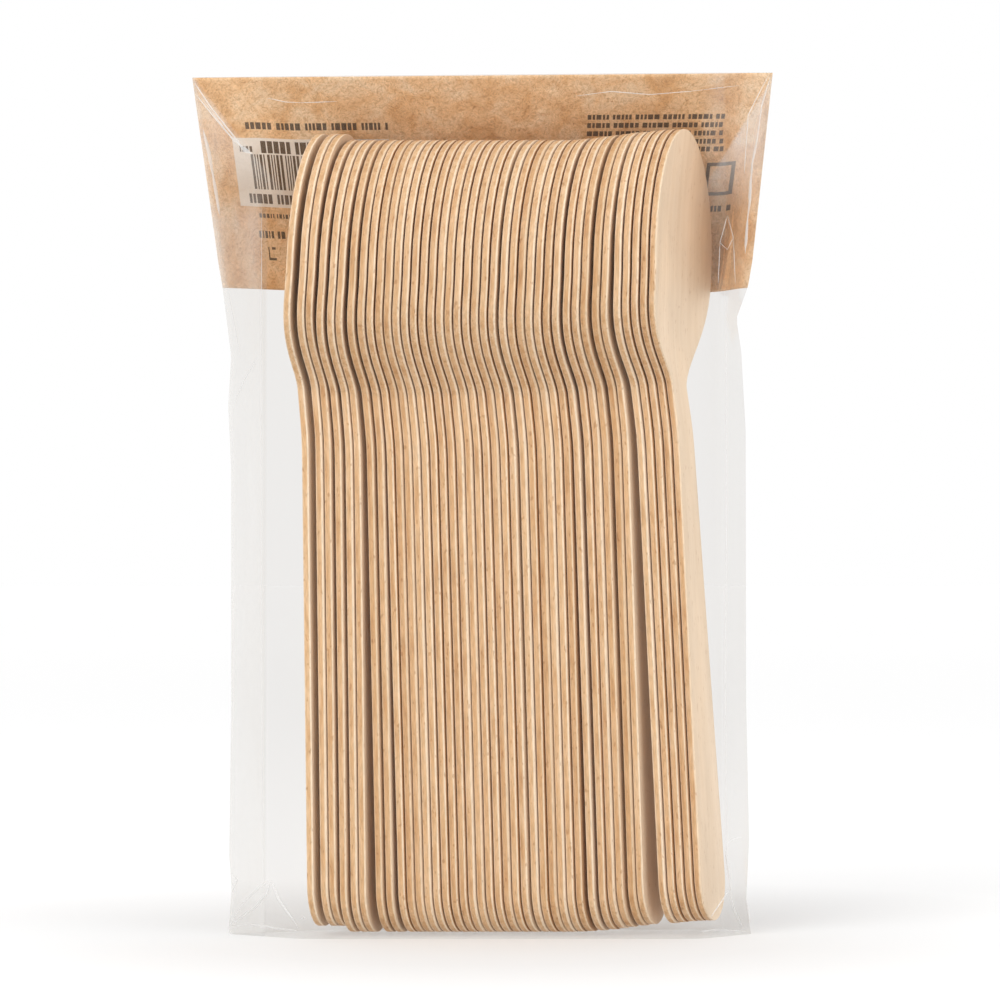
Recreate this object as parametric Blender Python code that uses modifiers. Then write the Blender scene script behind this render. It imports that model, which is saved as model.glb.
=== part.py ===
"""A pack of flat-pressed wooden spoons that stand in a clear film bag with a kraft band.

Metres, +Z up. The origin is in the middle of the bag's bottom and the front faces -Y. The spoons
stand side by side along X on their handle ends, bowls up, each turned a little about Z.
"""

import math

import bmesh
import bpy

# One spoon, pressed from veneer. Its concave side faces +X. The bowl's base is set back a little
# to -X and its tip rises to +X. Shares are of the bowl's length, from the neck up.
SPOON_LENGTH = 0.160
SPOON_THICKNESS = 0.0014
BOWL_LENGTH = 0.052
BOWL_WIDTH = 0.034
BOWL_WIDEST_SHARE = 0.51
BOWL_DISH = 0.0018
BOWL_TIP_RISE = 0.0038
BOWL_SETBACK = 0.0010
SETBACK_SHARE = 0.12
SETBACK_REACH = 0.35
NECK_WIDTH = 0.0082
HANDLE_WIDTH = 0.0150
HANDLE_END_LENGTH = 0.0085

# The row of spoons. The skew turns them about Z, and the lean moves their lower ends to +X.
# Angles are in degrees. The first spoons and the last ones stand a little higher than the rest.
SPOON_COUNT = 40
NEST_GAP = 0.00028
SKEW_FIRST = 16.4
SKEW_LAST = 21.8
LEAN_FIRST = 1.3
LEAN_STEP = 0.005
LEFT_LIFT = 0.0012
LEFT_LIFTED = 3
RIGHT_LIFT = 0.0023
RIGHT_LIFTED = 13

# Looser places in the row, by the number of the spoon that they come before: the extra room at
# the bowls, and the extra lean that this spoon and the following ones have.
LOOSE_ROOM = {
    2: 0.0010, 4: 0.0004, 5: 0.0004, 7: 0.0005, 8: 0.0003,
    24: 0.0003, 31: 0.0004, 34: 0.0005, 36: 0.0006,
}
LOOSE_LEAN = {7: 0.50, 9: 0.30, 30: 0.25, 36: 0.90}

# The film bag: a flattened tube with a flat bottom and a pressed mouth. Its side folds lie
# a wing's width beyond the row, are pinched in below the bowls and flare out to the mouth.
FILM_WALL = 0.0002
FILM_CLEARANCE = 0.0005
FILM_HEADSPACE = 0.0115
MOUTH_SLIT = 0.0008
FLARE_LEFT = 0.0079
FLARE_RIGHT = 0.0054
LEFT_WING = 0.0100
RIGHT_WING = 0.0033
PINCH_LEFT = 0.0004
PINCH_RIGHT = 0.0021
BASE_DEPTH = 0.0200
BELLY_DEPTH = 0.0240
WAIST_DEPTH = 0.0290
EAR_HEIGHT = 0.0106
EAR_DENT = 0.0016
STAND_GAP = 0.0003

# The kraft band on the outside of the back wall.
KRAFT_HEIGHT = 0.0434
KRAFT_THICKNESS = 0.00025
KRAFT_GAP = 0.0004

# Heights along a spoon from its handle's end, and of its foot above the floor.
NECK_HEIGHT = SPOON_LENGTH - BOWL_LENGTH
WIDEST_HEIGHT = NECK_HEIGHT + BOWL_WIDEST_SHARE * BOWL_LENGTH
STAND_HEIGHT = FILM_WALL + STAND_GAP

# How finely the shapes are cut: cells across a spoon, where its round ends stop being round,
# and columns of film from one side fold to the other.
SPOON_CELLS = 3
END_ANGLE = math.radians(15.0)
HALF_COLUMNS = 7


def clear_scene():
    for obj in list(bpy.data.objects):
        bpy.data.objects.remove(obj, do_unlink=True)


def make_collection(name):
    collection = bpy.data.collections.new(name)
    bpy.context.scene.collection.children.link(collection)
    return collection


def make_material(name, colour, roughness, alpha=1.0):
    material = bpy.data.materials.new(name)
    material.use_nodes = True
    shader = material.node_tree.nodes["Principled BSDF"]
    shader.inputs["Base Color"].default_value = (*colour, 1.0)
    shader.inputs["Roughness"].default_value = roughness
    shader.inputs["Metallic"].default_value = 0.0
    shader.inputs["Alpha"].default_value = alpha
    return material


def mix(start, end, share):
    return start + (end - start) * share


def ease(share):
    """A share from 0 to 1 with a level start and end."""
    share = min(max(share, 0.0), 1.0)
    return share * share * (3.0 - 2.0 * share)


def spoon_outline():
    """(height, half width) along a spoon, from the handle's end up to the bowl's tip."""
    flat = math.cos(END_ANGLE)
    rows = []
    for angle in (END_ANGLE, math.radians(48.0), math.radians(90.0)):
        height = HANDLE_END_LENGTH * (1.0 - math.cos(angle) / flat)
        rows.append((height, HANDLE_WIDTH / 2 * math.sin(angle)))
    for share in (0.5, 0.87, 1.0):
        height = mix(HANDLE_END_LENGTH, NECK_HEIGHT, share)
        rows.append((height, mix(HANDLE_WIDTH, NECK_WIDTH, share) / 2))
    for share in (0.12, 0.25, 0.42, 0.65, 1.0):
        height = mix(NECK_HEIGHT, WIDEST_HEIGHT, share)
        rounded = ease(1.0 - (1.0 - share) ** 2)
        rows.append((height, mix(NECK_WIDTH, BOWL_WIDTH, rounded) / 2))
    for angle in (math.radians(66.0), math.radians(44.0), math.radians(27.0), END_ANGLE):
        height = mix(WIDEST_HEIGHT, SPOON_LENGTH, math.cos(angle) / flat)
        rows.append((height, BOWL_WIDTH / 2 * math.sin(angle)))
    return rows


def spoon_bend(height, across):
    """How far the pressed veneer lies to +X. across runs from -1 to 1 over the width."""
    share = (height - NECK_HEIGHT) / BOWL_LENGTH
    setback = BOWL_SETBACK * ease(1.0 - abs(share - SETBACK_SHARE) / SETBACK_REACH)
    share = max(share, 0.0)
    dish = BOWL_DISH * math.sin(math.pi * share) * (1.0 - across * across)
    return BOWL_TIP_RISE * share - setback - dish


def make_spoon_mesh():
    """The spoon's middle surface, which Solidify thickens both ways."""
    rows = spoon_outline()
    bm = bmesh.new()
    bmesh.ops.create_grid(bm, x_segments=len(rows) - 1, y_segments=SPOON_CELLS, size=1.0)
    for vert in bm.verts:
        height, half = rows[round((vert.co.x + 1.0) / 2.0 * (len(rows) - 1))]
        across = vert.co.y
        vert.co = (spoon_bend(height, across), across * half, height)
    mesh = bpy.data.meshes.new("spoon")
    bm.to_mesh(mesh)
    bm.free()
    mesh.shade_smooth()
    mesh.set_sharp_from_angle(angle=math.radians(35.0))
    return mesh


def skew_of(number):
    return math.radians(mix(SKEW_FIRST, SKEW_LAST, (number - 1) / max(SPOON_COUNT - 1, 1)))


def lean_of(number):
    jumps = sum(jump for first, jump in LOOSE_LEAN.items() if number >= first)
    return math.radians(LEAN_FIRST + LEAN_STEP * (number - 1) + jumps)


def lift_of(number):
    """The end groups of spoons stand a little higher in the bag than the middle of the row."""
    left = LEFT_LIFT * ease(LEFT_LIFTED + 1 - number)
    right = RIGHT_LIFT * ease(1.0 - (SPOON_COUNT - number) / RIGHT_LIFTED)
    return left + right


def row_places():
    """X of each spoon's middle line at the bowls' widest height, from the first spoon's."""
    places = [0.0]
    for number in range(2, SPOON_COUNT + 1):
        pitch = (SPOON_THICKNESS + NEST_GAP) / math.cos(skew_of(number))
        places.append(places[-1] + pitch + LOOSE_ROOM.get(number, 0.0))
    return places


def make_spoons(collection, origin):
    mesh = make_spoon_mesh()
    wood = (0.72, 0.50, 0.30)
    for number, place in enumerate(row_places(), start=1):
        name = f"spoon_{number:02d}"
        spoon = bpy.data.objects.new(name, mesh if number == 1 else mesh.copy())
        spoon.data.materials.append(make_material(name + "_wood", wood, 0.6))
        lean = lean_of(number)
        foot = place + WIDEST_HEIGHT * math.sin(lean)
        spoon.location = (foot, 0.0, STAND_HEIGHT + lift_of(number))
        spoon.rotation_mode = "ZYX"
        spoon.rotation_euler = (0.0, -lean, -skew_of(number))
        spoon.parent = origin
        solid = spoon.modifiers.new("thickness", "SOLIDIFY")
        solid.thickness = SPOON_THICKNESS
        solid.offset = 0.0
        collection.objects.link(spoon)


def row_end(number, height):
    """X of a spoon's middle line at a height."""
    place = row_places()[number - 1]
    return place + (WIDEST_HEIGHT - height) * math.sin(lean_of(number))


def mouth_height():
    return STAND_HEIGHT + SPOON_LENGTH + RIGHT_LIFT + FILM_HEADSPACE


def film_levels():
    """The bag's sections: height, how far each side fold is pulled in, half depth, side dent."""
    bowl_depth = BOWL_WIDTH / 2 * math.cos(math.radians(SKEW_FIRST))
    bowl_depth += SPOON_THICKNESS / 2 + FILM_CLEARANCE + FILM_WALL
    belly_height = mix(EAR_HEIGHT, NECK_HEIGHT, 0.4)
    pinch_height = mix(NECK_HEIGHT, WIDEST_HEIGHT, 0.5)
    shoulder_height = mix(WIDEST_HEIGHT, SPOON_LENGTH, 0.6)
    pinch_depth = mix(WAIST_DEPTH / 2, bowl_depth, 0.7)
    levels = [
        (0.0, 0.0, 0.0, BASE_DEPTH / 2, 0.0),
        (EAR_HEIGHT, 0.0, 0.0, (BASE_DEPTH + EAR_DENT) / 2, EAR_DENT),
        (belly_height, 0.0, 0.0, BELLY_DEPTH / 2, 0.0),
        (NECK_HEIGHT, 0.0, 0.0, WAIST_DEPTH / 2, 0.0),
        (pinch_height, PINCH_LEFT, PINCH_RIGHT, pinch_depth, 0.0),
    ]
    for height, depth in (
        (WIDEST_HEIGHT, bowl_depth),
        (shoulder_height, bowl_depth),
        (mouth_height(), MOUTH_SLIT / 2 + FILM_WALL),
    ):
        share = (height - pinch_height) / (mouth_height() - pinch_height)
        pulls = mix(PINCH_LEFT, -FLARE_LEFT, share), mix(PINCH_RIGHT, -FLARE_RIGHT, share)
        levels.append((height, *pulls, depth, 0.0))
    return with_level(levels, mouth_height() - KRAFT_HEIGHT)


def with_level(levels, height):
    """The same sections with one more at a height that lies between two of them."""
    above = [level for level in levels if level[0] > height]
    below = levels[:len(levels) - len(above)]
    share = (height - below[-1][0]) / (above[0][0] - below[-1][0])
    between = tuple(mix(low, high, share) for low, high in zip(below[-1], above[0]))
    return below + [between] + above


def fold_places():
    """X of the bag's left and right side folds, beyond the row's outermost edges."""
    left_edge = row_end(1, WIDEST_HEIGHT) - BOWL_WIDTH / 2 * math.sin(skew_of(1))
    right_edge = row_end(SPOON_COUNT, 0.0) + HANDLE_WIDTH / 2 * math.sin(skew_of(SPOON_COUNT))
    half = SPOON_THICKNESS / 2
    return left_edge - half - LEFT_WING, right_edge + half + RIGHT_WING


def film_section(level):
    """One loop of the bag from its left fold along the front to the right fold, then the back."""
    height, pull_left, pull_right, depth, dent = level
    left_fold, right_fold = fold_places()
    left_fold += pull_left
    right_fold -= pull_right
    held = min(height, WIDEST_HEIGHT)
    margin = SPOON_THICKNESS / 2 + FILM_CLEARANCE
    left = row_end(1, held) - margin
    bowl_rise = max(spoon_bend(min(height, SPOON_LENGTH), 1.0), 0.0)
    right = row_end(SPOON_COUNT, held) + margin + bowl_rise
    left_shift = depth * math.tan(skew_of(1))
    right_shift = depth * math.tan(skew_of(SPOON_COUNT))
    front = half_section(left_fold, left - left_shift, right - right_shift, right_fold, -depth, dent)
    back = half_section(left_fold, left + left_shift, right + right_shift, right_fold, depth, dent)
    return [(x, y, height) for x, y in front + back[-2:0:-1]]


def half_section(left_fold, left, right, right_fold, depth, dent):
    """Front or back of a loop, from left fold to right fold, creased at each end of the row."""
    inward = -math.copysign(dent, depth)
    points = [(left_fold, 0.0), (mix(left_fold, left, 0.5), depth / 2 + inward)]
    points += [(mix(left, right, share / 3), depth) for share in range(4)]
    points += [(mix(right_fold, right, 0.5), depth / 2 + inward), (right_fold, 0.0)]
    return points


def join_rows(bm, rows, closed):
    """Triangles between neighbouring rows, split from the outer top to the inner bottom."""
    count = len(rows[0])
    for low, high in zip(rows, rows[1:]):
        for index in range(count if closed else count - 1):
            after = (index + 1) % count
            if index % HALF_COLUMNS < HALF_COLUMNS // 2:
                bm.faces.new((low[index], low[after], high[index]))
                bm.faces.new((low[after], high[after], high[index]))
            else:
                bm.faces.new((low[index], low[after], high[after]))
                bm.faces.new((low[index], high[after], high[index]))


def make_film(collection, origin):
    bm = bmesh.new()
    rows = [[bm.verts.new(point) for point in film_section(level)] for level in film_levels()]
    join_rows(bm, rows, closed=True)
    bm.faces.new(list(reversed(rows[0])))
    mesh = bpy.data.meshes.new("film_bag")
    bm.to_mesh(mesh)
    bm.free()
    bag = bpy.data.objects.new("film_bag", mesh)
    mesh.materials.append(make_material("clear_film", (0.93, 0.94, 0.95), 0.15, alpha=0.25))
    wall = bag.modifiers.new("wall", "SOLIDIFY")
    wall.thickness = FILM_WALL
    wall.offset = -1.0
    bag.parent = origin
    collection.objects.link(bag)


def band_levels():
    """The film's sections behind the kraft band."""
    lower_edge = mouth_height() - KRAFT_HEIGHT
    return [level for level in film_levels() if level[0] > lower_edge - FILM_WALL]


def band_row(level):
    """The back half of the bag's loop, moved off the film by the band's gap."""
    loop = film_section(level)
    back = loop[len(loop) // 2:] + loop[:1]
    return [(x, y + KRAFT_GAP, z) for x, y, z in back]


def make_kraft_band(collection, origin):
    bm = bmesh.new()
    rows = [[bm.verts.new(point) for point in band_row(level)] for level in band_levels()]
    join_rows(bm, rows, closed=False)
    mesh = bpy.data.meshes.new("kraft_band")
    bm.to_mesh(mesh)
    bm.free()
    band = bpy.data.objects.new("kraft_band", mesh)
    mesh.materials.append(make_material("kraft_paper", (0.55, 0.36, 0.21), 0.8))
    paper = band.modifiers.new("paper", "SOLIDIFY")
    paper.thickness = KRAFT_THICKNESS
    paper.offset = 1.0
    band.parent = origin
    collection.objects.link(band)


def make_origin(collection):
    """An empty that centres the pack's box on the origin."""
    left_fold, right_fold = fold_places()
    origin = bpy.data.objects.new("pack_origin", None)
    middle = (left_fold - FLARE_LEFT + right_fold + FLARE_RIGHT) / 2
    origin.location = (-middle, -(KRAFT_GAP + KRAFT_THICKNESS) / 2, 0.0)
    collection.objects.link(origin)
    return origin


def main():
    clear_scene()
    pack = make_collection("wooden_spoon_pack")
    origin = make_origin(pack)
    make_spoons(pack, origin)
    make_film(pack, origin)
    make_kraft_band(pack, origin)


main()
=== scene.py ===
"""The looks of a pack of wooden spoons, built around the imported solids."""

import math
import random

import bmesh
import bpy
from mathutils import Matrix, Vector, noise
from mathutils.bvhtree import BVHTree


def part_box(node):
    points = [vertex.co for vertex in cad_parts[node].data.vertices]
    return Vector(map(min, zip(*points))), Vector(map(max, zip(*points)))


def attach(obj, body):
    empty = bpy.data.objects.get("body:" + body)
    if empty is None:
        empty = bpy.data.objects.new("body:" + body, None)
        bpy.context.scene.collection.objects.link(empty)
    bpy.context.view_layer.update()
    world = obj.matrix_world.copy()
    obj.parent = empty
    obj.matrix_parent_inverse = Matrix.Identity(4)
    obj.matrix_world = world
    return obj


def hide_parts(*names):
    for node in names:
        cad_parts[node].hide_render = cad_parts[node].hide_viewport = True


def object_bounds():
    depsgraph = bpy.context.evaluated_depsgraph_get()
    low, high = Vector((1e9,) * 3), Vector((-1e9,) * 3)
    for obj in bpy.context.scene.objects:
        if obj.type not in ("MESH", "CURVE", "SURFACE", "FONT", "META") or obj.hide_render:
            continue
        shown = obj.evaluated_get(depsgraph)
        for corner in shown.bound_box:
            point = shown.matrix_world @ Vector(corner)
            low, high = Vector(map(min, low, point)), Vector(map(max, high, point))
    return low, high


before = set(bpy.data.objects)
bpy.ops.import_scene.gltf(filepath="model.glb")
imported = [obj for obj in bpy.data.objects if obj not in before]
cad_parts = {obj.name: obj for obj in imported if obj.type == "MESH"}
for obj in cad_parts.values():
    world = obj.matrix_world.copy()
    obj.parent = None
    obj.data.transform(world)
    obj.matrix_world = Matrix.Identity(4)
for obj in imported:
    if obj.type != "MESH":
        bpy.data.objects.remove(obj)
solid_low, solid_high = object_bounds()
bpy.ops.object.select_all(action="DESELECT")

# Spoons. Each is cut from one strip of birch veneer and pressed in a warm die, which dishes the
# bowl and leaves the arrises a little round. Forty of them stand on their handle ends in a row.
SPOON_LENGTH = 0.160
VENEER = 0.0014
ARRIS = 0.00022
HANDLE_WIDTH, HANDLE_END = 0.0150, 0.0085
NECK_WIDTH, NECK_HEIGHT = 0.0082, 0.108
BOWL_WIDTH, BOWL_LENGTH = 0.034, 0.052
WIDEST_HEIGHT = NECK_HEIGHT + 0.51 * BOWL_LENGTH
NECK_RUN = 0.012
BOWL_LIFT, BOWL_SETBACK, BOWL_DISH = 0.0038, 0.0010, 0.0018
BLUNT_END = 0.004
ACROSS_CELLS = 8


def mix(start, end, share):
    return start + (end - start) * share


def ease(share):
    share = min(max(share, 0.0), 1.0)
    return share * share * (3.0 - 2.0 * share)


def half_width(height):
    """Half the blank's width at a height above the handle's end."""
    if height <= HANDLE_END:
        return HANDLE_WIDTH / 2 * math.sqrt(max(1.0 - (1.0 - height / HANDLE_END) ** 2, BLUNT_END))
    if height <= NECK_HEIGHT:
        return mix(HANDLE_WIDTH, NECK_WIDTH, (height - HANDLE_END) / (NECK_HEIGHT - HANDLE_END)) / 2
    if height <= WIDEST_HEIGHT:
        share = (height - NECK_HEIGHT) / (WIDEST_HEIGHT - NECK_HEIGHT)
        return mix(NECK_WIDTH, BOWL_WIDTH, ease(1.0 - (1.0 - share) ** 2)) / 2
    share = (height - WIDEST_HEIGHT) / (SPOON_LENGTH - WIDEST_HEIGHT)
    return BOWL_WIDTH / 2 * math.sqrt(max(1.0 - share * share, BLUNT_END))


def pressed(height, across):
    """How far the die moves the veneer to +X, with across from -1 to 1 over the width."""
    share = (height - NECK_HEIGHT) / BOWL_LENGTH
    setback = BOWL_SETBACK * ease(1.0 - abs(share - 0.12) / 0.35)
    share = max(share, 0.0)
    dish = BOWL_DISH * math.sin(math.pi * min(share, 1.0)) * (1.0 - across * across)
    return BOWL_LIFT * share - setback - dish


def blank_heights():
    """Heights of the blank's rows of points, closer together where its outline turns."""
    round_end = [HANDLE_END * (1.0 - math.cos(math.radians(angle))) for angle in range(0, 90, 10)]
    handle = [mix(HANDLE_END, NECK_HEIGHT - NECK_RUN, step / 10) for step in range(11)]
    neck = [mix(NECK_HEIGHT - NECK_RUN, NECK_HEIGHT, step / 4) for step in range(1, 4)]
    base = [mix(NECK_HEIGHT, WIDEST_HEIGHT, (step / 14) ** 1.3) for step in range(15)]
    rise = SPOON_LENGTH - WIDEST_HEIGHT
    tip = [WIDEST_HEIGHT + rise * math.sin(math.radians(angle)) for angle in range(9, 91, 9)]
    return round_end + handle + neck + base + tip


heights = blank_heights()
bpy.ops.mesh.primitive_grid_add(
    x_subdivisions=ACROSS_CELLS, y_subdivisions=len(heights) - 1, size=2.0, location=(0, 0, 0)
)
blank = bpy.context.object
blank.name = "spoon_blank"
for vert in blank.data.vertices:
    height = heights[round((vert.co.y + 1.0) / 2.0 * (len(heights) - 1))]
    vert.co = (0.0, vert.co.x * half_width(height), height)
wall = blank.modifiers.new("veneer", "SOLIDIFY")
wall.thickness, wall.offset = VENEER, 0.0
arris = blank.modifiers.new("arris", "BEVEL")
arris.width, arris.segments = ARRIS, 2
arris.limit_method, arris.angle_limit = "ANGLE", math.radians(50)
bpy.ops.object.modifier_apply(modifier="veneer")
bpy.ops.object.modifier_apply(modifier="arris")
bpy.ops.object.shade_smooth_by_angle(angle=math.radians(40))

# The grain runs along the veneer, so its coordinates are kept from before the pressing.
grain_flat = [vert.co.copy() for vert in blank.data.vertices]
cut_faces = [1.0 if abs(face.normal.x) < 0.90 else 0.0 for face in blank.data.polygons]
face_sides = [face.normal.x for face in blank.data.polygons]
for vert in blank.data.vertices:
    across = vert.co.y / max(half_width(vert.co.z), 1e-4)
    vert.co.x += pressed(vert.co.z, max(-1.0, min(1.0, across)))


def nodes_of(material):
    material.use_nodes = True
    tree = material.node_tree
    return tree, tree.nodes["Principled BSDF"]


def add(tree, kind, inputs=(), **settings):
    """Adds a node, sets its properties, and links or sets its inputs by name or number."""
    node = tree.nodes.new(kind)
    for name, value in settings.items():
        setattr(node, name, value)
    for name, value in dict(inputs).items():
        if isinstance(value, bpy.types.NodeSocket):
            tree.links.new(value, node.inputs[name])
        else:
            node.inputs[name].default_value = value
    return node


def ramp(tree, value, stops):
    """A colour ramp on value. stops are (place, colour) pairs."""
    node = add(tree, "ShaderNodeValToRGB", {0: value})
    elements = node.color_ramp.elements
    while len(elements) < len(stops):
        elements.new(0.5)
    for element, (place, colour) in zip(elements, stops):
        element.position = place
        element.color = (*colour, 1.0)
    return node.outputs[0]


def blend_colour(tree, share, first, second, mode="MIX"):
    node = add(tree, "ShaderNodeMix", data_type="RGBA", blend_type=mode)
    for name, value in ((0, share), (6, first), (7, second)):
        if isinstance(value, bpy.types.NodeSocket):
            tree.links.new(value, node.inputs[name])
        else:
            node.inputs[name].default_value = value if name == 0 else (*value, 1.0)
    return node.outputs[2]


def grey(value):
    return (value, value, value)


def span(tree, value, start, end, low, high):
    """Maps value from start and end to low and high, and holds it there beyond them."""
    return add(tree, "ShaderNodeMapRange", {0: value, 1: start, 2: end, 3: low, 4: high}).outputs[0]


def combine(tree, operation, *values):
    """Works a math operation through numbers and sockets, from the first to the last."""
    total = values[0]
    for value in values[1:]:
        total = add(tree, "ShaderNodeMath", {0: total, 1: value}, operation=operation).outputs[0]
    return total


birch = bpy.data.materials.new("birch_veneer")
tree, shader = nodes_of(birch)
grain = add(tree, "ShaderNodeAttribute", attribute_name="grain").outputs["Vector"]
tone = add(tree, "ShaderNodeAttribute", attribute_name="tone").outputs["Fac"]
cut = add(tree, "ShaderNodeAttribute", attribute_name="cut").outputs["Fac"]
depth = add(tree, "ShaderNodeAttribute", attribute_name="depth").outputs["Fac"]
painted_gap_shade = add(tree, "ShaderNodeAttribute", attribute_name="painted_gap_shade").outputs["Fac"]


def streaks(scale, stretch, detail=3.0):
    """Noise on the grain's coordinates, in features of scale metres, stretched along the spoon."""
    placed = add(tree, "ShaderNodeMapping", {0: grain, 3: (1.0, 1.0, 1.0 / stretch)}).outputs[0]
    settings = {"Vector": placed, "Scale": 1.0 / scale, "Detail": detail}
    return add(tree, "ShaderNodeTexNoise", settings).outputs[0]


face_lines = ramp(
    tree, streaks(0.0011, 22.0), [(0.30, (0.835, 0.650, 0.465)), (0.70, (0.885, 0.705, 0.525))]
)
face_cloud = ramp(tree, streaks(0.009, 2.5), [(0.35, grey(0.93)), (0.65, grey(1.04))])
face_wood = blend_colour(tree, 1.0, face_lines, face_cloud, "MULTIPLY")
# Painted shade: faces against a neighbouring spoon are multiplied by this brown.
face_wood = blend_colour(tree, painted_gap_shade, face_wood, (0.58, 0.38, 0.23), "MULTIPLY")

# A cut edge is darker in its middle, with a painted highlight as a light ragged lip beside each pressed
# face, stronger on the right.
cut_cloud = ramp(
    tree, streaks(0.0011, 7.0, 5.0),
    [(0.30, (0.60, 0.330, 0.150)), (0.48, (0.72, 0.445, 0.230)), (0.68, (0.79, 0.525, 0.305))],
)
cut_fibre = ramp(tree, streaks(0.00022, 9.0, 2.0), [(0.30, grey(0.84)), (0.62, grey(1.05))])
cut_core = blend_colour(tree, 1.0, cut_cloud, cut_fibre, "MULTIPLY")
# The painted highlight along the arrises: this colour, strong beside the right face and weaker beside
# the left.
cut_highlight = blend_colour(tree, 1.0, (0.92, 0.745, 0.54), cut_fibre, "MULTIPLY")
ragged = combine(tree, "ADD", depth, span(tree, streaks(0.0007, 14.0), 0.3, 0.7, -0.10, 0.10))
arris_highlight_right = span(tree, ragged, 0.36, 0.66, 0.0, 0.9)
arris_highlight_left = span(tree, ragged, -0.62, -0.92, 0.0, 0.5)
arris_highlight = combine(tree, "MAXIMUM", arris_highlight_right, arris_highlight_left)
cut_wood = blend_colour(tree, arris_highlight, cut_core, cut_highlight)
wood = blend_colour(tree, cut, face_wood, cut_wood)
pores = ramp(tree, streaks(0.0006, 2.6, 1.0), [(0.27, (0.60, 0.44, 0.30)), (0.34, grey(1.0))])
pore_share = span(tree, cut, 0.0, 1.0, 0.30, 0.55)
wood = blend_colour(tree, pore_share, wood, pores, "MULTIPLY")
shade = ramp(tree, tone, [(0.0, (0.90, 0.84, 0.76)), (0.5, grey(1.0)), (1.0, (1.06, 1.11, 1.17))])
wood = blend_colour(tree, 1.0, wood, shade, "MULTIPLY")
tree.links.new(wood, shader.inputs["Base Color"])
fibre_height = streaks(0.00035, 14.0)
bump = add(tree, "ShaderNodeBump", {"Height": fibre_height, "Strength": 0.25, "Distance": 0.0001})
tree.links.new(bump.outputs[0], shader.inputs["Normal"])
shader.inputs["Roughness"].default_value = 0.58
shader.inputs["Specular IOR Level"].default_value = 0.35

SPOON_COUNT = 40
NEST_GAP = 0.00028
FIRST_SKEW, LAST_SKEW = 16.4, 21.8
FIRST_LEAN, LEAN_STEP = 1.3, 0.005

# Extra room in metres before a spoon, and the degrees that it and those after it lean more.
ROOM = {2: 0.0010, 4: 0.0004, 5: 0.0004, 7: 0.0005, 8: 0.0003, 24: 0.0003,
        31: 0.0004, 34: 0.0005, 36: 0.0006}
LEANS = {7: 0.50, 9: 0.30, 30: 0.25, 36: 0.90}


def spoon_turn(number):
    """The skew about Z and the lean to +X of a spoon, in radians."""
    skew = mix(FIRST_SKEW, LAST_SKEW, (number - 1) / (SPOON_COUNT - 1))
    lean = FIRST_LEAN + LEAN_STEP * (number - 1)
    lean += sum(more for first, more in LEANS.items() if number >= first)
    return math.radians(skew), math.radians(lean)


def spoon_places():
    """X at the widest height of each spoon's middle line, from the first one's."""
    places = [0.0]
    for number in range(2, SPOON_COUNT + 1):
        pitch = (VENEER + NEST_GAP) / math.cos(spoon_turn(number)[0])
        places.append(places[-1] + pitch + ROOM.get(number, 0.0))
    return places


def spoon_matrix(number, place):
    skew, lean = spoon_turn(number)
    turn = Matrix.Rotation(-lean, 4, "Y") @ Matrix.Rotation(-skew, 4, "Z")
    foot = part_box(f"spoon_{number:02d}")[0].z
    return Matrix.Translation((place + WIDEST_HEIGHT * math.sin(lean), 0.0, foot)) @ turn


def middle(box, axis):
    return (box[0][axis] + box[1][axis]) / 2


def fill_attribute(mesh, name, kind, domain, values):
    made = mesh.attributes.new(name, kind, domain)
    field = "vector" if kind == "FLOAT_VECTOR" else "value"
    flat = [part for value in values for part in value] if kind == "FLOAT_VECTOR" else values
    made.data.foreach_set(field, flat)


draw = random.Random(7)
for number, place in enumerate(spoon_places(), start=1):
    node = f"spoon_{number:02d}"
    spoon = blank.copy()
    spoon.data = blank.data.copy()
    spoon.name = f"birch_spoon_{number:02d}"
    spoon.data.transform(spoon_matrix(number, place))
    low = [min(vert.co[axis] for vert in spoon.data.vertices) for axis in range(3)]
    high = [max(vert.co[axis] for vert in spoon.data.vertices) for axis in range(3)]
    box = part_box(node)
    shift = Vector([middle(box, axis) - (low[axis] + high[axis]) / 2 for axis in range(3)])
    spoon.data.transform(Matrix.Translation(shift))
    offset = Vector((draw.uniform(-1, 1), draw.uniform(-1, 1), draw.uniform(-1, 1)))
    tint = min(max(draw.gauss(0.5, 0.28), 0.0), 1.0)
    fill_attribute(spoon.data, "grain", "FLOAT_VECTOR", "POINT", [co + offset for co in grain_flat])
    fill_attribute(spoon.data, "depth", "FLOAT", "POINT", [co.x / VENEER * 2.0 for co in grain_flat])
    fill_attribute(spoon.data, "tone", "FLOAT", "POINT", [tint] * len(grain_flat))
    fill_attribute(spoon.data, "cut", "FLOAT", "FACE", cut_faces)
    # Painted shade on faces between two spoons, by a share that differs and is low beside a wide gap.
    gap_shade_share = 0.35 if number + 1 in ROOM else draw.choice((0.0, 0.25, 0.8, 1.0))
    gap_shade_faces = [
        gap_shade_share if (side > 0 and number < SPOON_COUNT) or (side < 0 and number > 1) else 0.0
        for side in face_sides
    ]
    fill_attribute(spoon.data, "painted_gap_shade", "FLOAT", "FACE", gap_shade_faces)
    spoon.data.materials.clear()
    spoon.data.materials.append(birch)
    bpy.context.scene.collection.objects.link(spoon)
    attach(spoon, "root")
    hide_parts(node)
bpy.data.objects.remove(blank)

# The film bag. A tube of clear film is laid flat, sealed across its bottom and its mouth, and its
# corners are folded in, so it has creased wings beside the row and small ears at its foot.
COLUMNS, ROWS, BASE_STEPS = 88, 120, 6
MOUTH = solid_high.z
TALL_WAVE, SMALL_WAVE = 0.00035, 0.00022
SMOOTHINGS, HELD_CELLS, BACK_SHARE = 5, 4, 0.4

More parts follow.
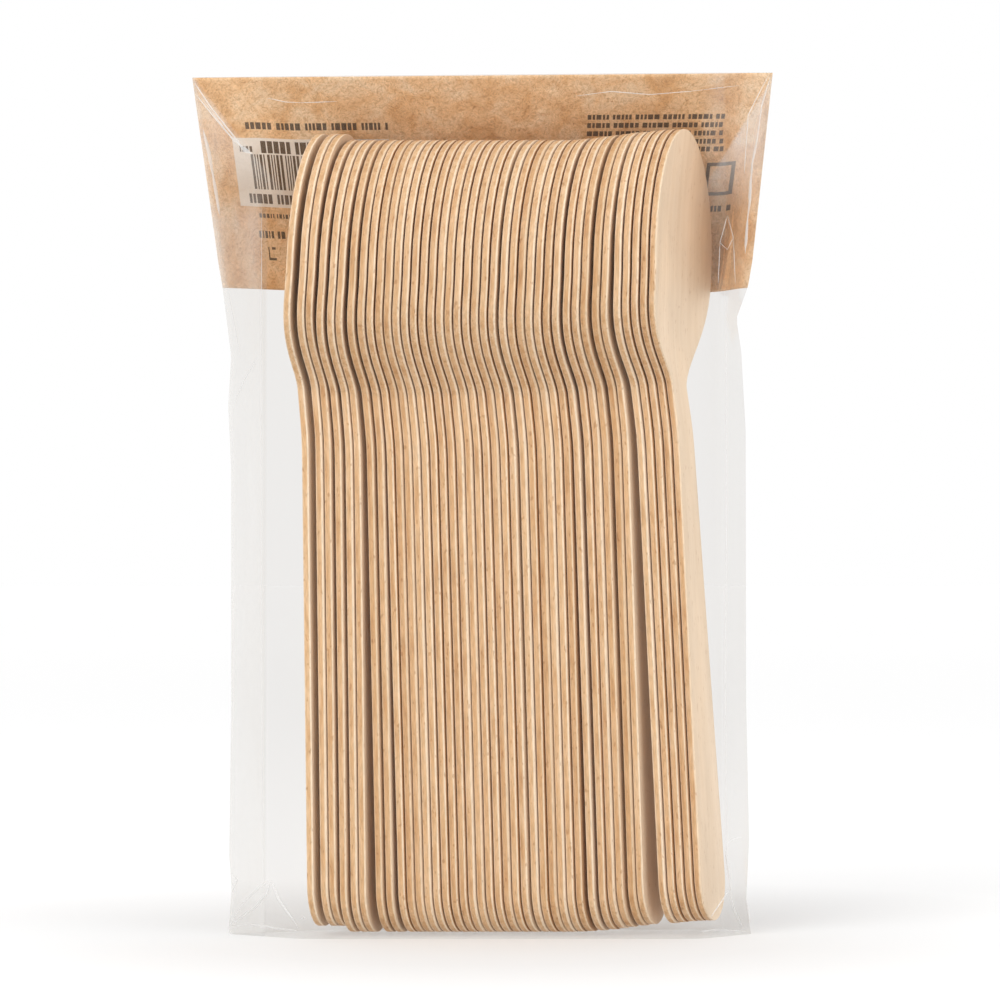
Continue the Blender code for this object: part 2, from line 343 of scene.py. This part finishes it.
# Each fold runs up through these points, given as (height, x) in millimetres.
LEFT_FOLD = [(0, -51.2), (1.5, -51.4), (9, -50.8), (16, -51.3), (47, -50.9), (94, -50.9),
             (107, -51.5), (117, -50.9), (130.6, -52.6), (136.5, -53.6), (174.4, -58.8)]
RIGHT_FOLD = [(0, 54.4), (1.5, 54.2), (7, 53.4), (19, 54.0), (47, 53.4), (102, 53.3),
              (118, 52.4), (124.6, 51.4), (131.2, 53.8), (136.5, 54.7), (174.4, 58.8)]
film_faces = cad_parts["film_bag"].data
film_tree = BVHTree.FromPolygons(
    [vert.co for vert in film_faces.vertices], [list(face.vertices) for face in film_faces.polygons]
)


def along(points, height):
    """A fold's x in metres at a height in metres, from points in millimetres."""
    height *= 1000.0
    for (low, start), (high, end) in zip(points, points[1:]):
        if height <= high:
            share = max((height - low) / (high - low), 0.0)
            return mix(start, end, share) / 1000.0
    return points[-1][1] / 1000.0


def wall_y(x, z, side):
    """The solid bag's outer wall at a place: side is -1 for the front and 1 for the back."""
    margin, outside = 0.0003, 0.2
    z = min(max(z, margin), MOUTH - margin)
    hit = film_tree.ray_cast(Vector((x, side * outside, z)), Vector((0.0, -side, 0.0)))[0]
    return hit.y if hit is not None else 0.0


def wrinkle(x, z):
    """Soft waves of the film: long upright ones in the wings, and smaller ones under the mouth."""
    tall = noise.noise(Vector((x * 150.0, 0.0, z * 18.0)))
    small = noise.noise(Vector((x * 260.0, 4.0, z * 120.0)))
    near_mouth = ease((z - 0.135) / 0.03)
    beside = ease((abs(x - 0.003) - 0.036) / 0.012)
    return TALL_WAVE * tall * beside + SMALL_WAVE * small * max(near_mouth, 0.35 * beside)


def column_share(column):
    """A column's place from the left fold, 0, to the right one, 1, a little crowded to both."""
    even = column / COLUMNS
    return mix(even, 0.5 - 0.5 * math.cos(math.pi * even), 0.35)


def wall_points(side):
    """Rows of points up one wall of the bag, from its left fold to its right one."""
    grid = []
    for row in range(ROWS + 1):
        z = MOUTH * row / ROWS
        left, right = along(LEFT_FOLD, z), along(RIGHT_FOLD, z)
        xs = [mix(left, right, column_share(column)) for column in range(COLUMNS + 1)]
        grid.append([[x, wall_y(x, z, side), z] for x in xs])
    for sweep in range(SMOOTHINGS):
        before = [[point[1] for point in row] for row in grid]
        for row in range(ROWS + 1):
            for column in range(1, COLUMNS):
                near = [before[row][column - 1], before[row][column + 1]]
                if 0 < row < ROWS:
                    near += [before[row - 1][column], before[row + 1][column]]
                grid[row][column][1] = mix(before[row][column], sum(near) / len(near), 0.5)
    for row in range(ROWS + 1):
        for column in range(COLUMNS + 1):
            x, y, z = grid[row][column]
            from_edges = min(column, COLUMNS - column), min(row, ROWS - row)
            free = ease(from_edges[0] / HELD_CELLS) * ease(from_edges[1] / HELD_CELLS)
            grid[row][column][1] = y + side * wrinkle(x, z) * free * (1.0 if side < 0 else BACK_SHARE)
            if column in (0, COLUMNS):
                grid[row][column][1] = 0.0
    return grid


def wall_mesh(name, grid, reverse=False):
    bm = bmesh.new()
    rows = [[bm.verts.new(point) for point in row] for row in grid]
    for low, high in zip(rows, rows[1:]):
        for index in range(len(low) - 1):
            corners = (low[index], low[index + 1], high[index + 1], high[index])
            bm.faces.new(reversed(corners) if reverse else corners)
    mesh = bpy.data.meshes.new(name)
    bm.to_mesh(mesh)
    bm.free()
    made = bpy.data.objects.new(name, mesh)
    bpy.context.scene.collection.objects.link(made)
    return made


front_points = wall_points(-1)
back_points = wall_points(1)
base_points = [
    [[mix(front[0], back[0], step / BASE_STEPS), mix(front[1], back[1], step / BASE_STEPS), 0.0]
     for front, back in zip(front_points[0], back_points[0])]
    for step in range(BASE_STEPS + 1)
]
film_parts = [
    wall_mesh("clear_film_bag", front_points),
    wall_mesh("film_back", back_points, reverse=True),
    wall_mesh("film_base", base_points, reverse=True),
    wall_mesh("film_mouth", [front_points[-1], back_points[-1]]),
]
bpy.ops.object.select_all(action="DESELECT")
for part in film_parts:
    part.select_set(True)
film_bag = film_parts[0]
bpy.context.view_layer.objects.active = film_bag
bpy.ops.object.join()
bpy.ops.object.mode_set(mode="EDIT")
bpy.ops.mesh.select_all(action="SELECT")
bpy.ops.mesh.remove_doubles(threshold=0.00002)
bpy.ops.object.mode_set(mode="OBJECT")
bpy.ops.object.shade_smooth_by_angle(angle=math.radians(50))
bpy.ops.object.select_all(action="DESELECT")

# Each point's distance in metres from the left fold, along which the film is a little milkier.
from_left = [vert.co.x - along(LEFT_FOLD, vert.co.z) for vert in film_bag.data.vertices]
fill_attribute(film_bag.data, "from_left", "FLOAT", "POINT", from_left)


def film_material(name, clear, haze, blend):
    """Film: see-through, glossy by its angle, and milky by haze, a number or a function."""
    material = bpy.data.materials.new(name)
    material.use_nodes = True
    tree = material.node_tree
    tree.nodes.remove(tree.nodes["Principled BSDF"])
    through = add(tree, "ShaderNodeBsdfTransparent", {"Color": (*clear, 1.0)})
    gloss = add(tree, "ShaderNodeBsdfGlossy", {"Color": (1.0, 1.0, 1.0, 1.0), "Roughness": 0.16})
    milk = add(tree, "ShaderNodeBsdfDiffuse", {"Color": (0.83, 0.83, 0.82, 1.0)})
    angle = add(tree, "ShaderNodeLayerWeight", {"Blend": blend}).outputs["Fresnel"]
    angle = combine(tree, "MINIMUM", angle, 0.16)
    place = add(tree, "ShaderNodeTexCoord").outputs["Object"]
    placed = add(tree, "ShaderNodeMapping", {0: place, 3: (1.0, 1.0, 0.12)}).outputs[0]
    texture = {"Vector": placed, "Scale": 160.0, "Detail": 3.0}
    waves = add(tree, "ShaderNodeTexNoise", texture).outputs[0]
    ridge = add(tree, "ShaderNodeBump", {"Height": waves, "Strength": 0.3, "Distance": 0.0005})
    tree.links.new(ridge.outputs[0], gloss.inputs["Normal"])
    glossy = add(tree, "ShaderNodeMixShader", {0: angle, 1: through.outputs[0], 2: gloss.outputs[0]})
    share = haze(tree, waves) if callable(haze) else haze
    milky = add(tree, "ShaderNodeMixShader", {0: share, 1: glossy.outputs[0], 2: milk.outputs[0]})
    tree.links.new(milky.outputs[0], tree.nodes["Material Output"].inputs["Surface"])
    return material


def fold_haze(tree, waves):
    """The wings and the mouth's corners are folded double, so they are milkier, in streaks."""
    place = add(tree, "ShaderNodeTexCoord").outputs["Object"]
    across, _, up = add(tree, "ShaderNodeSeparateXYZ", {0: place}).outputs
    streak = span(tree, waves, 0.35, 0.68, 0.50, 1.05)
    left_wing = combine(
        tree, "MULTIPLY",
        span(tree, across, -0.0443, -0.0438, 0.19, 0.0), span(tree, up, 0.1445, 0.1500, 1.0, 0.0),
    )
    right_wing = combine(
        tree, "MULTIPLY",
        span(tree, across, 0.0440, 0.0475, 0.0, 0.09), span(tree, across, 0.0488, 0.0491, 1.0, 0.5),
    )
    left_slope = combine(tree, "ADD", across, combine(tree, "MULTIPLY", up, 0.78))
    right_slope = combine(tree, "SUBTRACT", across, combine(tree, "MULTIPLY", up, 0.62))
    corners = combine(
        tree, "ADD",
        span(tree, left_slope, 0.0762, 0.0770, 0.14, 0.0),
        span(tree, right_slope, -0.0492, -0.0484, 0.0, 0.24),
    )
    corners = combine(tree, "MULTIPLY", corners, span(tree, up, 0.146, 0.160, 0.0, 1.0))
    folded = combine(tree, "MULTIPLY", combine(tree, "ADD", left_wing, right_wing, corners), streak)
    from_fold = add(tree, "ShaderNodeAttribute", attribute_name="from_left").outputs["Fac"]
    return combine(tree, "ADD", folded, span(tree, from_fold, 0.0002, 0.0013, 0.12, 0.0), 0.010)


film_bag.data.materials.clear()
film_bag.data.materials.append(film_material("clear_film", (0.924, 0.917, 0.909), fold_haze, 0.06))

# Creases in the film. Where it is creased it is stretched white, in fine ridges on the front wall.
# Each is given by points (x, height) on the plane of the folds, as the eye in front sees them, and
# by its width, all in millimetres.
CAMERA_DISTANCE, CAMERA_HEIGHT = 0.9, 0.085
EYE = Vector((0.0, -CAMERA_DISTANCE, CAMERA_HEIGHT))


def wall_at(grid, x, z):
    """The y of the scene's own front or back wall at a place, from its rows of points."""
    row = min(max(z / MOUTH * ROWS, 0.0), ROWS - 1e-6)
    low, found = int(row), []
    for points in (grid[low], grid[low + 1]):
        column = 0
        while column < COLUMNS - 1 and points[column + 1][0] < x:
            column += 1
        first, second = points[column], points[column + 1]
        share = min(max((x - first[0]) / (second[0] - first[0]), 0.0), 1.0)
        found.append(mix(first[1], second[1], share))
    return mix(found[0], found[1], row - low)


def on_front(x, z):
    """The point of the front wall that is seen at (x, z) of the folds' plane."""
    seen, y = Vector((x, 0.0, z)), -0.010
    for attempt in range(6):
        point = EYE + (seen - EYE) * ((y - EYE.y) / -EYE.y)
        y = wall_at(front_points, point.x, point.z)
    return EYE + (seen - EYE) * ((y - EYE.y) / -EYE.y)


CREASES = [
    ([(-58.4, 173.5), (-55.2, 168.6), (-52.2, 164.6), (-48.8, 160.2)], 0.75),
    ([(-58.0, 171.0), (-54.6, 166.6), (-51.6, 162.9), (-48.2, 159.3)], 0.45),
    ([(-57.0, 170.5), (-53.2, 165.2), (-49.4, 159.8)], 0.30),
    ([(-49.6, 160.8), (-48.0, 159.2), (-46.6, 158.4)], 1.3),
    ([(-56.6, 163.8), (-55.4, 158.8), (-54.0, 150.7), (-53.2, 145.6)], 0.95),
    ([(-43.8, 169.5), (-43.4, 170.1), (-40.0, 169.3), (-36.9, 169.1), (-29.3, 169.3)], 0.22),
    ([(-36.0, 173.0), (-35.4, 172.8)], 0.30),
    ([(31.4, 169.3), (32.0, 169.2)], 0.30),
    ([(39.9, 169.3), (40.6, 169.2)], 0.28),
    ([(43.8, 168.6), (44.5, 168.4)], 0.30),
    ([(18.7, 170.0), (26.0, 170.9), (34.0, 170.2), (42.0, 170.8), (52.0, 171.9)], 0.24),
    ([(58.3, 173.6), (56.6, 168.0), (55.6, 161.0), (54.6, 156.0), (54.2, 149.0), (53.4, 142.6),
      (53.2, 137.6)], 0.60),
    ([(58.0, 174.0), (55.6, 169.5), (53.8, 165.9), (53.4, 160.0), (53.0, 154.0)], 0.30),
    ([(54.3, 153.8), (54.2, 150.8), (54.0, 147.8)], 0.85),
    ([(53.7, 145.5), (53.5, 142.0), (53.2, 138.4)], 0.80),
    ([(49.6, 145.6), (48.1, 140.0), (49.6, 138.6), (50.8, 141.0), (49.6, 145.6)], 0.24),
    ([(48.1, 140.0), (47.7, 131.5)], 0.22),
    ([(50.8, 141.0), (51.2, 131.5)], 0.22),
    ([(-51.6, 130.5), (-50.3, 124.0), (-49.1, 117.3)], 0.26),
    ([(-50.6, 106.6), (-48.2, 112.3), (-45.4, 117.0)], 0.26),
    ([(-44.7, 147.2), (-44.8, 110.0), (-44.7, 60.0), (-44.4, 11.0)], 0.22),
    ([(-51.2, 1.6), (-46.2, 5.4), (-43.6, 8.2), (-42.8, 11.0)], 0.55),
    ([(-51.2, 1.6), (-48.4, 6.4), (-45.0, 9.6), (-42.8, 11.0)], 0.34),
    ([(-42.8, 11.0), (-41.2, 7.0), (-38.0, 2.4), (-37.2, 1.0)], 0.42),
    ([(-51.2, 1.4), (-47.0, 2.0), (-42.0, 1.2), (-37.0, 0.6)], 0.60),
    ([(-37.0, 2.9), (-36.2, 3.5), (-35.6, 3.0)], 0.50),
    ([(-51.3, 12.6), (-49.6, 11.0), (-50.8, 8.2)], 0.45),
    ([(49.3, 131.0), (49.4, 90.0), (49.2, 50.0), (49.5, 10.0)], 0.26),
    ([(49.4, 18.2), (50.6, 19.2), (52.4, 19.6)], 0.40),
    ([(49.2, 17.0), (50.0, 12.0), (50.4, 7.5)], 0.85),
    ([(49.7, 9.4), (51.0, 5.0), (52.8, 1.0)], 0.42),
    ([(46.2, 3.4), (49.6, 8.4), (50.6, 8.8)], 0.36),
    ([(44.0, 0.4), (47.6, 1.0), (53.8, 0.4)], 0.40),
    ([(53.4, 7.0), (54.0, 4.4), (54.2, 1.4)], 0.34),
]
CREASE_STEP = 0.0012


def crease_points(line):
    """Close points along a line on the front wall."""
    spread = []
    for (x, z), (x_next, z_next) in zip(line, line[1:]):
        count = max(int(math.hypot(x_next - x, z_next - z) / 1000.0 / CREASE_STEP), 1)
        spread += [(mix(x, x_next, part / count), mix(z, z_next, part / count)) for part in range(count)]
    return [on_front(x / 1000.0, z / 1000.0) for x, z in [*spread, line[-1]]]


def crease_strip(bm, line, width):
    """A ridge along the line: three points across, tapered at its ends, and a little wavy."""
    points = crease_points(line)
    rows = []
    out = Vector((0.0, -1.0, 0.0))
    for index, point in enumerate(points):
        ahead, behind = points[min(index + 1, len(points) - 1)], points[max(index - 1, 0)]
        run = (ahead - behind).normalized()
        side = run.cross(Vector((0.0, 1.0, 0.0))).normalized()
        share = index / max(len(points) - 1, 1)
        broken = 0.62 + 0.5 * noise.noise(Vector((point.x * 260.0, width * 50.0, point.z * 260.0)))
        half = width / 2000.0 * max(math.sin(math.pi * share), 0.0) ** 0.4 * broken + 0.00001
        rows.append([bm.verts.new(point + side * half * place + out * (0.00004 + lift))
                     for place, lift in ((-1.0, 0.0), (0.0, half * 0.8), (1.0, 0.0))])
    for low, high in zip(rows, rows[1:]):
        for index in range(2):
            bm.faces.new((low[index], low[index + 1], high[index + 1], high[index]))


bm = bmesh.new()
for line, width in CREASES:
    crease_strip(bm, line, width)
bmesh.ops.recalc_face_normals(bm, faces=bm.faces)
for face in bm.faces:
    if face.normal.y > 0:
        face.normal_flip()
crease_mesh = bpy.data.meshes.new("film_creases")
bm.to_mesh(crease_mesh)
bm.free()
creases = bpy.data.objects.new("film_creases", crease_mesh)
bpy.context.scene.collection.objects.link(creases)
creases.data.materials.append(film_material("stretched_film", (0.90, 0.90, 0.89), 0.42, 0.35))
creases.data.shade_smooth()
MOUTH_DROP = 0.0010


def settle(obj):
    """The mouth hangs a little lower at the left than at the right."""
    for vert in obj.data.vertices:
        share = (solid_high.x - vert.co.x) / (solid_high.x - solid_low.x)
        vert.co.z -= MOUTH_DROP * share * ease((vert.co.z - 0.140) / 0.034)


for piece in (film_bag, creases):
    settle(piece)
    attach(piece, "root")
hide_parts("film_bag")

# The kraft band. Brown kraft paper is bonded to the film across the top of the bag's back wall and
# crumples with it. On it are a pale label and small plain marks, which carry no words.
BAND_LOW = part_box("kraft_band")[0].z
BAND_GAP = 0.00042
BAND_ROWS, BAND_STEPS = 64, 450
PAPER_WALL = 0.0001
STEP = 1 / BAND_STEPS

# Each mark is (left, right, low, high): shares of the band's width, and heights in millimetres.
LABEL = (24 * STEP, 149 * STEP, 147.9, 162.3)
draw = random.Random(11)


def row_of_marks(left, right, low, high, width, gap):
    """A row of plain blocks, about width wide, with a wider gap now and then, in whole steps."""
    row, at, count = [], round(left / STEP), 0
    while at < right / STEP - 1:
        wide = max(round(width * draw.uniform(0.6, 1.5) / STEP), 1)
        row.append((at * STEP, (at + wide) * STEP, low, high))
        count += 1
        at += wide + max(round(gap * (2.6 if count % 5 == 0 else 1.0) / STEP), 1)
    return row


marks = row_of_marks(0.081, 0.330, 164.1, 165.5, 0.0062, 0.0030)
marks += row_of_marks(0.064, 0.086, 159.4, 160.6, 0.004, 0.003)
marks += row_of_marks(0.103, 0.320, 159.2, 161.7, 0.0075, 0.003)
marks += row_of_marks(0.083, 0.320, 151.6, 158.9, 0.0030, 0.0021)
marks += row_of_marks(0.070, 0.320, 148.6, 150.6, 0.0065, 0.003)
marks += row_of_marks(0.085, 0.160, 145.6, 146.5, 0.0030, 0.0016)
marks += row_of_marks(0.079, 0.130, 141.4, 142.9, 0.0042, 0.0024)
marks += [(42 * STEP, 48 * STEP, 136.9, 137.4), (42 * STEP, 43 * STEP, 137.4, 139.6),
          (45 * STEP, 48 * STEP, 139.1, 139.6)]
for low in (165.8, 164.2, 162.6, 161.0, 159.5):
    marks += row_of_marks(0.685, 0.928, low, low + 0.95, 0.0058, 0.0022)
marks += [(407 * STEP, 410 * STEP, 150.8, 157.3), (427 * STEP, 430 * STEP, 150.8, 157.3),
          (410 * STEP, 427 * STEP, 156.6, 157.3), (410 * STEP, 427 * STEP, 150.8, 151.5)]
marks += row_of_marks(0.905, 0.955, 147.5, 148.7, 0.006, 0.003)


def covers(mark, share, height):
    return mark[0] < share < mark[1] and mark[2] < height * 1000.0 < mark[3]


# The band's grid has a line at each edge of a mark, and regular ones that aren't close to those.
edge_steps = {round(edge / STEP) for mark in [*marks, LABEL] for edge in mark[:2]}
shares = [step * STEP for step in sorted(edge_steps | set(range(0, BAND_STEPS + 1, 5)))]
edge_levels = {edge / 1000.0 for mark in [*marks, LABEL] for edge in mark[2:]}
even_levels = {mix(BAND_LOW, MOUTH, row / BAND_ROWS) for row in range(BAND_ROWS + 1)}
levels = sorted(edge_levels | {
    level for level in even_levels if all(abs(level - edge) > 0.0002 for edge in edge_levels)
})
band_points = []
for z in levels:
    left, right = along(LEFT_FOLD, z), along(RIGHT_FOLD, z)
    xs = [mix(left, right, share) for share in shares]
    band_points.append([[x, max(wall_at(back_points, x, z), 0.0) + BAND_GAP, z] for x in xs])
kraft_band = wall_mesh("kraft_band_paper", band_points, reverse=True)
kraft_band.data.shade_smooth()

kraft = bpy.data.materials.new("kraft_paper")
tree, shader = nodes_of(kraft)
place = add(tree, "ShaderNodeTexCoord").outputs["Object"]


def paper_noise(scale, detail, distortion):
    """Noise in features of scale metres, more tangled with more distortion."""
    settings = {"Vector": place, "Scale": 1.0 / scale, "Detail": detail, "Distortion": distortion}
    return add(tree, "ShaderNodeTexNoise", settings).outputs[0]


clouds = ramp(tree, paper_noise(0.006, 5.0, 0.6), [
    (0.34, (0.82, 0.485, 0.230)), (0.50, (0.94, 0.625, 0.355)), (0.68, (0.98, 0.735, 0.490))])
fibres = ramp(tree, paper_noise(0.0016, 3.0, 3.5), [
    (0.34, (0.76, 0.69, 0.60)), (0.5, grey(1.0)), (0.66, grey(1.10))])
paper = blend_colour(tree, 0.9, clouds, fibres, "MULTIPLY")
threads = ramp(tree, paper_noise(0.0008, 1.0, 6.0), [(0.30, (0.74, 0.64, 0.52)), (0.44, grey(1.0))])
paper = blend_colour(tree, 0.8, paper, threads, "MULTIPLY")
# Painted highlight and shade: each crinkle is a lighter line beside a darker one.
crinkle_light_and_shade = ramp(tree, paper_noise(0.0046, 4.0, 1.6), [
    (0.462, grey(1.0)), (0.488, grey(1.15)), (0.500, grey(0.86)), (0.530, grey(1.0))])
paper = blend_colour(tree, 0.85, paper, crinkle_light_and_shade, "MULTIPLY")
flecks = ramp(tree, paper_noise(0.0011, 2.0, 2.5), [(0.25, (0.45, 0.28, 0.15)), (0.30, grey(1.0))])
paper = blend_colour(tree, 0.8, paper, flecks, "MULTIPLY")
tree.links.new(paper, shader.inputs["Base Color"])
crumple = add(tree, "ShaderNodeBump", {
    "Height": paper_noise(0.005, 6.0, 0.8), "Strength": 0.5, "Distance": 0.0012})
tree.links.new(crumple.outputs[0], shader.inputs["Normal"])
shader.inputs["Roughness"].default_value = 0.55


def printed(name, colour, strength):
    """The kraft material again, with an ink of this colour over it."""
    made = kraft.copy()
    made.name = name
    tree, shader = made.node_tree, made.node_tree.nodes["Principled BSDF"]
    under = shader.inputs["Base Color"].links[0].from_socket
    inked = blend_colour(tree, strength, under, colour)
    tree.links.new(inked, shader.inputs["Base Color"])
    return made


kraft_band.data.materials.append(kraft)
kraft_band.data.materials.append(printed("label_paper", (0.95, 0.90, 0.84), 0.88))
kraft_band.data.materials.append(printed("print_ink", (0.070, 0.045, 0.028), 0.90))
for face in kraft_band.data.polygons:
    left, right = along(LEFT_FOLD, face.center.z), along(RIGHT_FOLD, face.center.z)
    share = (face.center.x - left) / (right - left)
    if any(covers(mark, share, face.center.z) for mark in marks):
        face.material_index = 2
    elif covers(LABEL, share, face.center.z):
        face.material_index = 1
paper_wall = kraft_band.modifiers.new("paper", "SOLIDIFY")
paper_wall.thickness, paper_wall.offset = PAPER_WALL, -1.0
bpy.context.view_layer.objects.active = kraft_band
bpy.ops.object.modifier_apply(modifier="paper")
settle(kraft_band)
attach(kraft_band, "root")
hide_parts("kraft_band")

# The floor. A matt white board, wide enough that its edges are out of sight, lies under the pack.
# It glows a little to the eye, more with distance, so that it meets the white surround unseen.
bpy.ops.mesh.primitive_grid_add(x_subdivisions=2, y_subdivisions=2, size=6.0, location=(0, 0, 0))
floor = bpy.context.object
floor.name = "studio_floor"
for vert in floor.data.vertices:
    vert.co.y += 1.4
white = bpy.data.materials.new("studio_white")
tree, shader = nodes_of(white)
shader.inputs["Base Color"].default_value = (0.75, 0.75, 0.75, 1.0)
shader.inputs["Roughness"].default_value = 0.9
shader.inputs["Specular IOR Level"].default_value = 0.1


def seen_rays(tree):
    """1 for rays from the camera, off a gloss or through a clear piece, and 0 for other light."""
    path = add(tree, "ShaderNodeLightPath").outputs
    return combine(
        tree, "MAXIMUM", path["Is Camera Ray"], path["Is Glossy Ray"], path["Is Transmission Ray"]
    )


FLOOR_REACH = 4.0
place = add(tree, "ShaderNodeTexCoord").outputs["Object"]
away = add(tree, "ShaderNodeVectorMath", {0: place}, operation="LENGTH").outputs["Value"]
far_glow = ramp(tree, combine(tree, "MULTIPLY", away, 1.0 / FLOOR_REACH), [
    (0.0, grey(0.05)), (0.016, grey(0.06)), (0.035, grey(0.19)),
    (0.25, grey(0.22)), (0.50, grey(0.265)), (1.0, grey(0.287))])
glow = combine(tree, "MULTIPLY", seen_rays(tree), far_glow)
shader.inputs["Emission Color"].default_value = (1.0, 1.0, 1.0, 1.0)
tree.links.new(glow, shader.inputs["Emission Strength"])
floor.data.materials.append(white)

# The studio: an even white surround, a wide lamp high on the left and a weaker one on the right.
world = bpy.data.worlds.new("studio")
bpy.context.scene.world = world
world.use_nodes = True
tree = world.node_tree
background = tree.nodes["Background"]
background.inputs["Color"].default_value = (1.0, 1.0, 1.0, 1.0)
level = add(tree, "ShaderNodeMix", {0: seen_rays(tree), 2: 0.94, 3: 1.0}, data_type="FLOAT")
tree.links.new(level.outputs[0], background.inputs["Strength"])
LAMP_SIZE, LAMP_AIM = 0.9, Vector((0.0, 0.0, 0.08))


def studio_lamp(name, place, power):
    bpy.ops.object.light_add(type="AREA", location=place)
    lamp = bpy.context.object
    lamp.name = name
    lamp.data.size, lamp.data.energy = LAMP_SIZE, power
    lamp.rotation_euler = (LAMP_AIM - lamp.location).to_track_quat("-Z", "Y").to_euler()


studio_lamp("lamp_left", (-0.8, -1.0, 0.9), 9.4)
studio_lamp("lamp_right", (1.1, -0.62, 0.32), 5.2)

# The camera looks level along +Y. The picture is 1000 pixels wide, at this many pixels a metre
# on the plane of the bag's folds.
SENSOR_WIDTH, PICTURE_WIDTH, PIXELS_PER_METRE = 36.0, 1000.0, 4938.0
bpy.ops.object.camera_add(location=EYE, rotation=(math.pi / 2, 0.0, 0.0))
camera = bpy.context.object
camera.data.sensor_width = SENSOR_WIDTH
camera.data.lens = SENSOR_WIDTH * CAMERA_DISTANCE * PIXELS_PER_METRE / PICTURE_WIDTH
camera.data.shift_x, camera.data.shift_y = 0.0175, 0.0143
bpy.context.scene.camera = camera
bpy.context.scene.view_settings.view_transform = "Standard"
